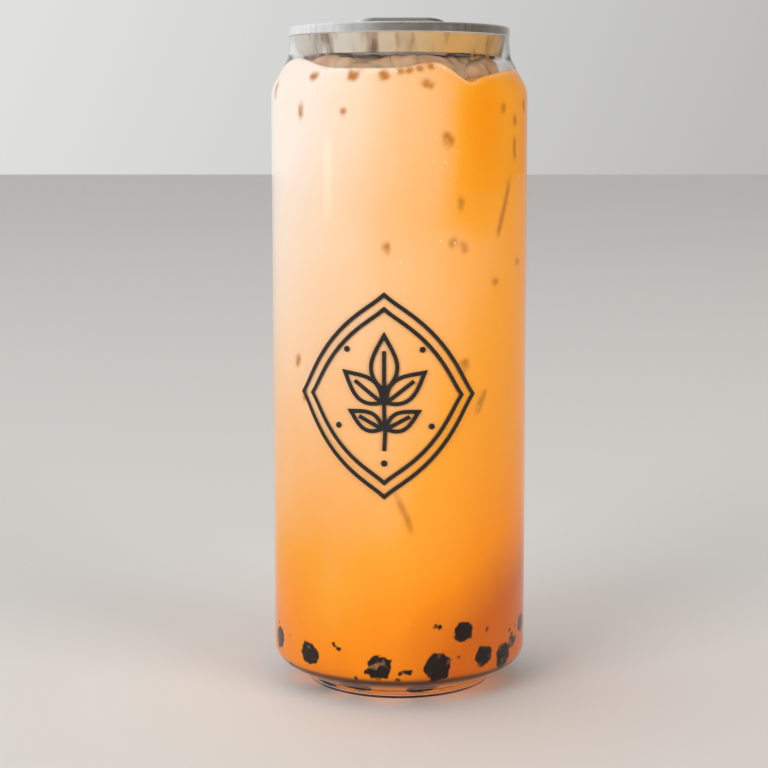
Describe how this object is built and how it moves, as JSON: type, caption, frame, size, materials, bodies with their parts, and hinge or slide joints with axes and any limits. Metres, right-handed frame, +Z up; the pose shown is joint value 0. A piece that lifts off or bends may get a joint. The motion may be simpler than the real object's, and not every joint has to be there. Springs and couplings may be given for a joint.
{
  "type": "bubble tea",
  "caption": "Tall clear plastic can of orange milk tea with dark tapioca pearls and ice, closed by a metal full-aperture end with a raised pull ring.",
  "frame": {"origin": "middle of the plane that the foot ring stands on", "axes": "+Z up along the can's axis; the pull ring's free end points to -Y, which is the front; +X to the right of the front"},
  "size_m": [0.066, 0.066, 0.1721],
  "materials": {
    "clear_plastic": "clear bottle plastic, glossy, slightly wavy",
    "milk_tea": "opaque milk tea, pale at the top and deep orange at the foot",
    "end_metal": "bright rolled metal, lacquered",
    "ring_metal": "bright curled metal, lacquered",
    "tapioca": "dark brown jelly, wet",
    "ice": "melting ice, tea-stained",
    "milk_foam": "fine wet bubbles",
    "black_print": "screen-printed ink, satin"
  },
  "bodies": {
    "root": {"clear_can": "clear_plastic", "milk_tea": "milk_tea", "can_end": "end_metal", "pull_ring": "ring_metal"}
  },
  "joints": []
}
